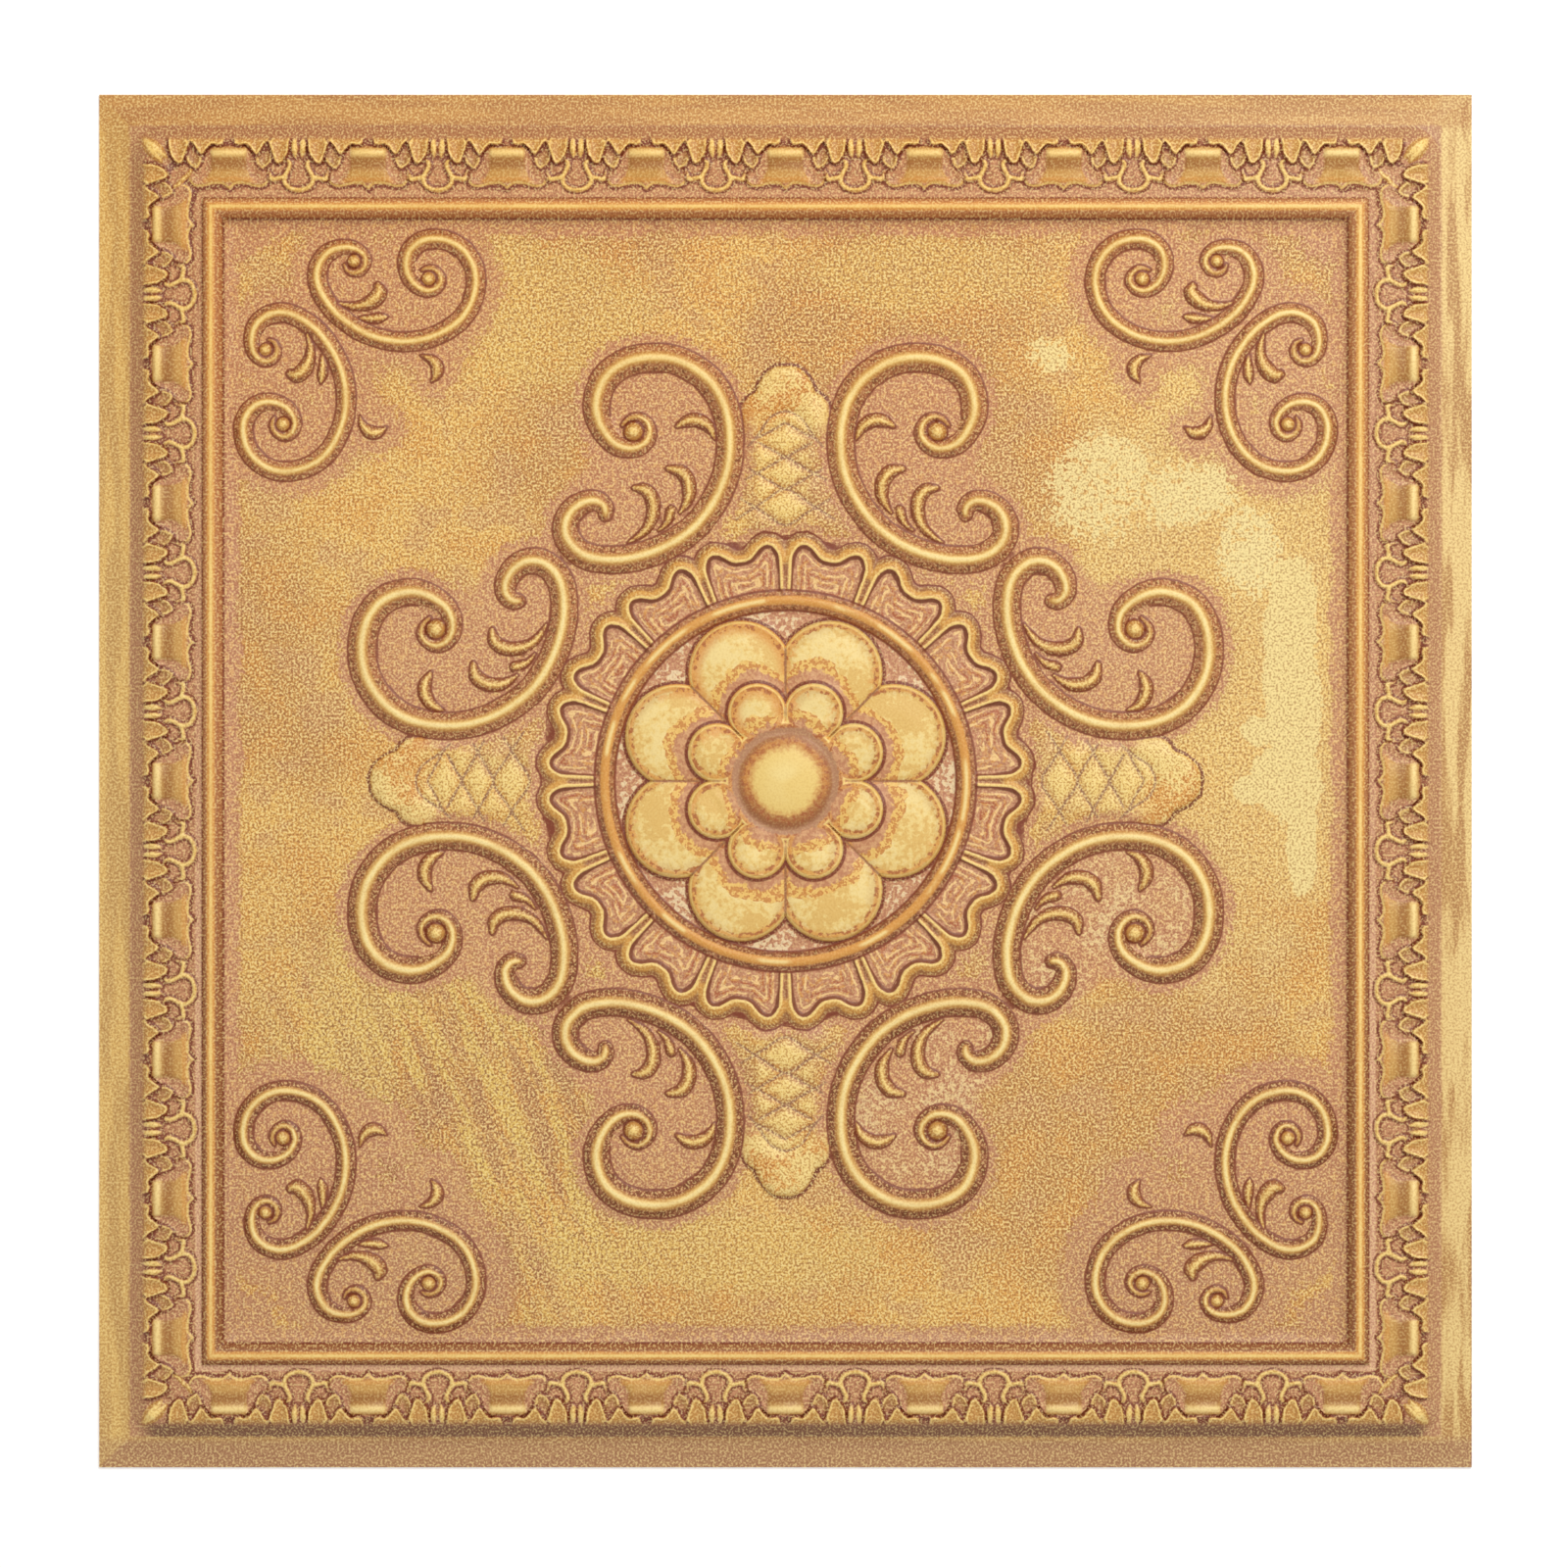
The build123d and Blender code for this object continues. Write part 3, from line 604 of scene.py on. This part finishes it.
tint = petal(tint, outer_petal, 0.0 - inner_petal)
turn = pu.math("ARCTAN2", pu, pv)
seam = turn.least(0.785398 - turn) * pr
tint = coat(tint, brown, (1.0 - seam.ease(0.25, 0.8)) * outer_petal.ease(0.0, 1.0) * 0.9)
tint = petal(tint, inner_petal, pr - 20.5 - (1.0 - blotch.ease(0.44, 0.56)) * 3.0)
tint = coat(tint, brown, (1.0 - seam.ease(0.25, 0.8)) * pr.ease(26.0, 30.0) * inner_petal.ease(0.0, 1.0)
            * 0.9)
boss_shake = pr + wide_shake * 0.35
tint = coat(tint, shade(186, 134, 96), 1.0 - (boss_shake + dabs * 0.2).ease(23.0, 24.0))
tint = coat(tint, shade(172, 112, 62), 1.0 - boss_shake.ease(19.8, 21.0))
tint = coat(tint, shade(204, 136, 64), 1.0 - (boss_shake + dabs * 0.2).ease(17.5, 19.5))
# Painted shadow: darker brown round the lower side of the boss
tint = coat(tint, shade(152, 92, 50),
            between(boss_shake, 15.5, 21.5, 0.8) * (1.0 - py.ease(-14.0, 2.0)) * 0.6)
tint = coat(tint, rust, between(boss_shake, 15.5, 19.5, 0.8) * dots * 0.7)
tint = coat(tint, shade(240, 206, 120), 1.0 - (boss_shake + dabs * 0.25).ease(12.5, 17.0))
tint = coat(tint, shade(252, 230, 158), (1.0 - pr.ease(3.0, 13.0)) * drift.ease(0.38, 0.62) * 0.5)

# Skirt of leaves round the ring: glazed floor with faint veins, rubbed rim with a painted shadow just inside it, gold
# outer slope and a dark foot
on_skirt = pr.ease(82.0, 83.5)
tint = coat(tint, mauve, skirt.ease(-1.0, 0.0) * on_skirt)
tint = coat(tint, amber, (1.0 - vein.ease(0.3, 1.0)) * skirt.ease(1.5, 2.5) * on_skirt
            * fleck.ease(0.42, 0.54) * 0.8)
out_there = on_skirt * pr.ease(93.0, 97.0)
tint = coat(tint, shade(168, 112, 62), between(skirt, -4.8, -0.4, 0.6) * out_there)
tint = coat(tint, shade(224, 166, 78), between(skirt + shake, -2.8, -0.4, 0.7) * out_there * 0.9)
tint = coat(tint, shade(190, 132, 92), (1.0 - fleck.ease(0.4, 0.6)) * skirt.ease(0.0, 2.0) * on_skirt * 0.5)
rings = skirt * 2.1 + (drift - 0.5) * 9.0 + (wander - 0.5) * 2.5
swirl = rings.math("SINE", rings) * skirt.ease(2.2, 3.4) * on_skirt
tint = coat(tint, shade(250, 208, 140), swirl.ease(0.45, 0.8) * wander.ease(0.4, 0.48) * 0.9)
tint = coat(tint, shade(180, 92, 50), (0.0 - swirl).ease(0.55, 0.85) * drift.ease(0.42, 0.54) * 0.75)
skirt_foot = between(skirt + shake * 0.3, -5.8, -4.8, 0.35) * out_there
rim_shadow = between(skirt, 0.4, 1.4 + pr.ease(90.0, 98.0) * 0.9, 0.4) * on_skirt
tint = coat(tint, dark_line, skirt_foot)
# Painted shadow: dark brown just inside the raised rim of each skirt leaf
tint = coat(tint, shade(124, 58, 28), rim_shadow * 0.9)
tint = coat(tint, brown, (1.0 - skirt.ease(-1.6, -0.8)) * on_skirt * (1.0 - pr.ease(94.0, 97.0)) * 0.8)
tint = coat(tint, bright, between(skirt, -0.7, 0.5, 0.35) * on_skirt)

# Ribs, ring and small leaves: brown sides, darker towards the bottom, a rubbed crest, a painted highlight along the
# middle of the ribs and ring, and a thin dark foot
ring_away = (pr - ring_radius).size()
on_ring = 1.0 - ring_away.ease(4.6, 5.2)
rib = rib.least(ring_away / 4.6)
rib_gap = rib_gap.least(ring_away - 4.6)
lower = 1.0 - py.ease(-140.0, 80.0)
rib_half = (0.0 - rib_gap) / (1.0 - rib.least(0.9))
rubbed_and_highlight_share = 0.75 + drift.ease(0.4, 0.56) * 0.25 - on_ring * (0.75 - drift.ease(0.46, 0.56) * 0.4)
rubbed_and_highlight_share = rubbed_and_highlight_share * rib_half.ease(1.4, 2.6).most(rib.ease(0.8, 0.9))
rib_side = coat(shade(182, 118, 74), shade(148, 88, 52), lower)
rib_side = coat(rib_side, shade(204, 146, 102), (fleck + (grain - 0.5) * 0.5).ease(0.5, 0.6) * 0.5)
rib_side = coat(rib_side, shade(124, 70, 40), (1.0 - fleck.ease(0.36, 0.48)) * 0.6)
tint = coat(tint, rib_side, 1.0 - rib.ease(0.97, 1.03))
tint = coat(tint, coat(dull_gold, amber, on_ring), 1.0 - (rib + shake * 0.08).ease(0.3, 0.54))
tint = coat(tint, bright, (1.0 - (rib + shake * 0.04).ease(0.1, 0.34)) * rubbed_and_highlight_share)
# Painted highlight: a paler line along the very middle of each rib and ring crest, over the rubbed gold
tint = coat(tint, painted_highlight, (1.0 - (rib + shake * 0.03).ease(0.02, 0.2)) * rubbed_and_highlight_share * 0.8)
rib_line = between(rib_gap + shake * 0.2, -0.7, 0.4, 0.3)
tint = coat(tint, dark_line, rib_line * 0.85)
leaf_side = coat(shade(152, 92, 52), shade(180, 118, 70), fleck.ease(0.4, 0.6))
tint = coat(tint, leaf_side, 1.0 - leaf.ease(0.95, 1.05))
tint = coat(tint, dull_gold, 1.0 - leaf.ease(0.35, 0.62))
tint = coat(tint, bright, (1.0 - leaf.ease(0.1, 0.36)) * rubbed_and_highlight_share)
leaf_line = between(leaf_gap + shake * 0.2, -0.6, 0.4, 0.3)
tint = coat(tint, dark_line, leaf_line * 0.85)


def apart(across, up):
    """Distance in plan from a place in the folded drawing."""
    return ((pu - across).power(2.0) + (pv - up).power(2.0)).power(0.5)


eye = (apart(66.6, 153.2) / 4.4).least(apart(156.5, 220.3) / 3.3).least(apart(189.2, 228.05) / 3.0)
tint = coat(tint, dull_gold, 1.0 - eye.ease(0.7, 0.95))
tint = coat(tint, bright, 1.0 - eye.ease(0.2, 0.65))

# Border: glazed ground, gold pads, and leaf, egg and arch edges rubbed bright with a dark painted shadow just under
# them
egg_number = (pu / egg_pitch).math("ROUND", pu / egg_pitch).least(4.0)
along = (pu - egg_number * egg_pitch).size()
on_band = pv.ease(255.4, 256.2)
border = coat(shade(184, 126, 86), shade(206, 148, 106), fleck.ease(0.4, 0.6))
# Strip outside the bead painted paler, most at the bottom: painted light in the bead's shade
border = coat(border, shade(226, 176, 138), between(pv, 255.8, 258.6, 0.5) * (0.3 + lower * 0.7))
# Painted shade across the dip in the middle of each pad, and a painted highlight along the roll near its outer end
pad_gold = coat(shade(208, 158, 82), shade(172, 116, 52), between(pv, 268.0, 273.0, 2.0))
pad_gold = coat(pad_gold, shade(252, 220, 144), between(pv, 273.8, 276.4, 1.2))
pad_side = along + shake - (268.0 - pv).most(0.0) * 0.5
on_pad = (1.0 - pad_side.ease(7.0, 8.6)) * between(pv, 262.4, 277.6, 0.8)
border = coat(border, pad_gold, on_pad)
border = coat(border, amber, between(pv + shake, 262.0, 264.5, 0.6) * (1.0 - pad_side.ease(8.0, 10.0)) * 0.6)
leafed = 1.0 - pv.ease(280.5, 283.0)
braced = 1.0 - pv.ease(263.4, 265.0)
open_under = 1.0 - over_depth.ease(-0.4, 0.2)
border = coat(border, coat(olive, border, under_depth.ease(1.0, 4.0)),
              under_depth.ease(-0.1, 0.3) * leafed * 0.9)
# Painted shadow: a dark line just outside the lower leaf's edge, under its raised rim
border = coat(border, dark_line, between(under_depth, -1.4, -0.1, 0.4) * open_under * leafed * 0.9)
border = coat(border, bright, between(under_depth, 0.1, 0.9, 0.4) * open_under * leafed * 0.8)
over_gold = coat(shade(210, 156, 76), border, over_depth.ease(2.0, 6.5))
border = coat(border, over_gold, over_depth.ease(-0.1, 0.3) * leafed * 0.9)
# Painted shadow: dark lines just outside the upper leaves, the egg lips and the arches, under their raised edges
border = coat(border, dark_line, between(over_depth, -1.5, -0.1, 0.4) * leafed * 0.95)
border = coat(border, bright, between(over_depth, 0.1, 0.9, 0.4) * leafed)
border = coat(border, dark_line, between(egg_depth, -1.5, -0.1, 0.4) * braced * 0.95)
border = coat(border, bright, between(egg_depth, 0.1, 0.9, 0.4) * braced)
border = coat(border, dark_line, between(arch_gap, 0.0, 1.0, 0.4) * leafed * 0.85)
border = coat(border, bright, (1.0 - arch_gap.ease(-0.7, 0.0)) * leafed)
border = coat(border, coat(dull_gold, bright, 1.0 - leaf.ease(0.2, 0.6)), 1.0 - leaf.ease(0.9, 1.0))
# Painted shade on the outer slope along the bottom edge, which faces away from the lamp; paler on the left and right
slope_tint_and_shade = coat(shade(178, 124, 86), shade(132, 92, 68), 1.0 - py.ease(-284.0, -278.0))
slope_tint_and_shade = coat(slope_tint_and_shade, shade(196, 144, 104), px.size().ease(276.0, 284.0))
border = coat(border, slope_tint_and_shade, pv.ease(280.5, 283.5) * 0.85)

# Bead and the step inside it
# Painted light and shade on the step: paler at the top, where it faces away from the lamp, darker at the bottom
step_brown = coat(shade(194, 130, 82), shade(160, 102, 62), lower)
frame_tint = coat(step_brown, border, on_band)
step_line = between(pv + shake * 0.4, 246.0, 247.0, 0.4) * 0.85
tint = coat(tint, dark_line, step_line)
frame_tint = coat(frame_tint, dark_line, step_line)
frame_tint = coat(frame_tint, dark_line, between(pv + shake * 0.3, 255.0, 255.8, 0.4) * 0.7)
bead_away = (pv - 251.6).size()
frame_tint = coat(frame_tint, amber, 1.0 - (bead_away + shake * 0.5).ease(1.2, 2.6))
bead_share = 0.75 + drift.ease(0.4, 0.56) * 0.25
frame_tint = coat(frame_tint, bright, (1.0 - (bead_away + shake * 0.4).ease(0.1, 1.2)) * bead_share)

# Flange: long brush strokes, paler at the right and browner towards the bottom edge
strokes_across = cloud(60.0, 2.0, stretched(spot, 0.25, 2.4))
strokes_up = cloud(60.0, 2.0, stretched(spot, 2.4, 0.25))
upright = (px.size() - py.size()).ease(-1.0, 1.0)
strokes = strokes_across + (strokes_up - strokes_across) * upright
flange_paint = coat(shade(196, 148, 88), shade(226, 182, 106), strokes.ease(0.38, 0.6))
flange_paint = coat(flange_paint, shade(240, 212, 144), px.ease(284.0, 290.0) * strokes.ease(0.4, 0.56) * 0.7)
flange_paint = coat(flange_paint, shade(196, 138, 78), py.ease(284.0, 290.0) * 0.6)
flange_paint = coat(flange_paint, shade(180, 132, 94), (1.0 - py.ease(-292.0, -286.0)) * 0.85)
flange_paint = coat(flange_paint, shade(236, 198, 112), (1.0 - px.ease(-290.0, -284.0)) * upright * 0.3)
frame_tint = coat(frame_tint, flange_paint, (pv + shake).ease(287.2, 289.0))

# Thin orange glaze over the top and left of the tile, and stipple over everything, least on the rubbed tops
warm_share = py.ease(40.0, 280.0) * (1.0 - px.ease(60.0, 260.0))
rough = brush.node("ShaderNodeBump", (), {"Height": grain, "Distance": 0.00015, "Strength": 0.5}, "Normal")


def times(under, colour, share):
    return brush.node("ShaderNodeMix", {"data_type": "RGBA", "blend_type": "MULTIPLY"},
                      {0: share, 6: under, 7: colour}, 2)


def skin(paint, stippled):
    """The finished surface of one region, with its share of the stipple."""
    warmed = times(paint, (0.98, 0.9, 0.74, 1.0), warm_share)
    darker = times(warmed, (0.62, 0.47, 0.38, 1.0), (1.0 - grain.ease(0.36, 0.47)) * stippled * 0.9)
    speckled = coat(darker, shade(255, 230, 156), grain.ease(0.54, 0.64) * stippled * 0.7)
    return brush.node("ShaderNodeBsdfPrincipled", (),
                      {"Base Color": speckled, "Roughness": 0.46, "Normal": rough})


rubbed = (1.0 - rib.ease(0.2, 0.7)).most(outer_petal.most(inner_petal).ease(-1.0, 0.5) * 1.1)
lines = rib_line.most(leaf_line).most(skirt_foot).most(rim_shadow)
calm = glaze.most((1.0 - pr.ease(104.0, 107.0)) * 1.6)
panel_skin = skin(tint, (1.0 - rubbed * 0.55) * (1.0 - lines * 0.9) * (1.0 - calm * 0.38))
frame_rubbed = (1.0 - bead_away.ease(0.5, 2.0)).most(on_pad * on_band * 0.8)
frame_skin = skin(frame_tint, (1.0 - frame_rubbed * 0.55) * 0.62)
on_frame = pv.math("GREATER_THAN", pv, 246.4)
whole_skin = brush.node("ShaderNodeMixShader", (), {0: on_frame, 1: panel_skin, 2: frame_skin})
gilding.node_tree.links.new(whole_skin.socket,
                            gilding.node_tree.nodes.new("ShaderNodeOutputMaterial").inputs[0])


def formed(on_back, cell, triangles):
    """One side of the sheet off the mould, thinned where it is plain."""
    blank = bpy.data.objects.new("pressed_sheet", bpy.data.meshes.new("pressed_sheet"))
    bpy.context.scene.collection.objects.link(blank)
    press_step = blank.modifiers.new("press", "NODES")
    press_step.node_group = mould
    settings = {"Edge": flange_edge, "Wall": sheet_wall, "Band height": band_height,
                "Panel height": panel_height,
                "Cells": int(2 * flange_edge / cell) + 1, "Back": on_back, "Paint": gilding}
    for item in mould.interface.items_tree:
        if item.in_out == "INPUT":
            press_step[item.identifier] = settings[item.name]
    thin_step = blank.modifiers.new("thin", "DECIMATE")
    thin_step.ratio = min(1.0, triangles / (2 * (settings["Cells"] - 1) ** 2))
    side = bpy.data.meshes.new_from_object(blank.evaluated_get(bpy.context.evaluated_depsgraph_get()))
    bpy.data.objects.remove(blank)
    return side


face_side = formed(False, face_cell, 172000)
back_side = formed(True, back_cell, 20000)
for spent in (ribs, leaves, skirt_leaf, skirt_veins, cone, cone_grooves, egg, over_leaves, under_leaf, arch):
    bpy.data.objects.remove(spent)
sheet = bmesh.new()
sheet.from_mesh(face_side)
sheet.from_mesh(back_side)
bmesh.ops.bridge_loops(sheet, edges=[line for line in sheet.edges if line.is_boundary])
bmesh.ops.triangulate(sheet, faces=[piece for piece in sheet.faces if len(piece.verts) > 3])
sheet.to_mesh(face_side)
sheet.free()
face_side.name = "gilded_tile"
face_side.shade_smooth()
face_side.set_sharp_from_angle(angle=math.radians(62))
tile = bpy.data.objects.new("gilded_tile", face_side)
bpy.context.scene.collection.objects.link(tile)
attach(tile, "root")
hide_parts("ceiling_tile")

# The tile lies face up on a plain white floor, which is only the studio and no part of it.
floor_mesh = bpy.data.meshes.new("studio_floor")
floor_mesh.from_pydata([(-6, -6, 0), (6, -6, 0), (6, 6, 0), (-6, 6, 0)], [], [(0, 1, 2, 3)])
floor = bpy.data.objects.new("studio_floor", floor_mesh)
bpy.context.scene.collection.objects.link(floor)
white = bpy.data.materials.new("studio_white")
white.use_nodes = True
white_skin = white.node_tree.nodes["Principled BSDF"]
white_skin.inputs["Base Color"].default_value = (0.92, 0.92, 0.92, 1.0)
white_skin.inputs["Roughness"].default_value = 0.9
white_skin.inputs["Emission Color"].default_value = (1.0, 1.0, 1.0, 1.0)
sight = Field(white.node_tree).node("ShaderNodeLightPath", (), (), "Is Camera Ray")
white.node_tree.links.new((sight * 0.25).socket, white_skin.inputs["Emission Strength"])
floor_mesh.materials.append(white)

scene = bpy.context.scene
scene.view_settings.view_transform = "Standard"
world = bpy.data.worlds.new("studio")
scene.world = world
world.use_nodes = True
world.node_tree.nodes["Background"].inputs["Color"].default_value = (1.0, 0.98, 0.96, 1.0)
world.node_tree.nodes["Background"].inputs["Strength"].default_value = 0.65
lamp = bpy.data.lights.new("key", "AREA")
lamp.energy = 24.0
lamp.size = 1.2
holder = bpy.data.objects.new("key", lamp)
holder.location = (0.72, 1.25, 1.72)
holder.rotation_euler = (-holder.location).to_track_quat("-Z", "Y").to_euler()
scene.collection.objects.link(holder)

camera = bpy.data.cameras.new("photo_view")
camera.lens = 36.0 * 3.0 / (0.603 * 1600 / 1400)
camera.sensor_width = 36.0
viewer = bpy.data.objects.new("photo_view", camera)
viewer.location = (-0.00065, -0.0013, 3.0)
scene.collection.objects.link(viewer)
scene.camera = viewer
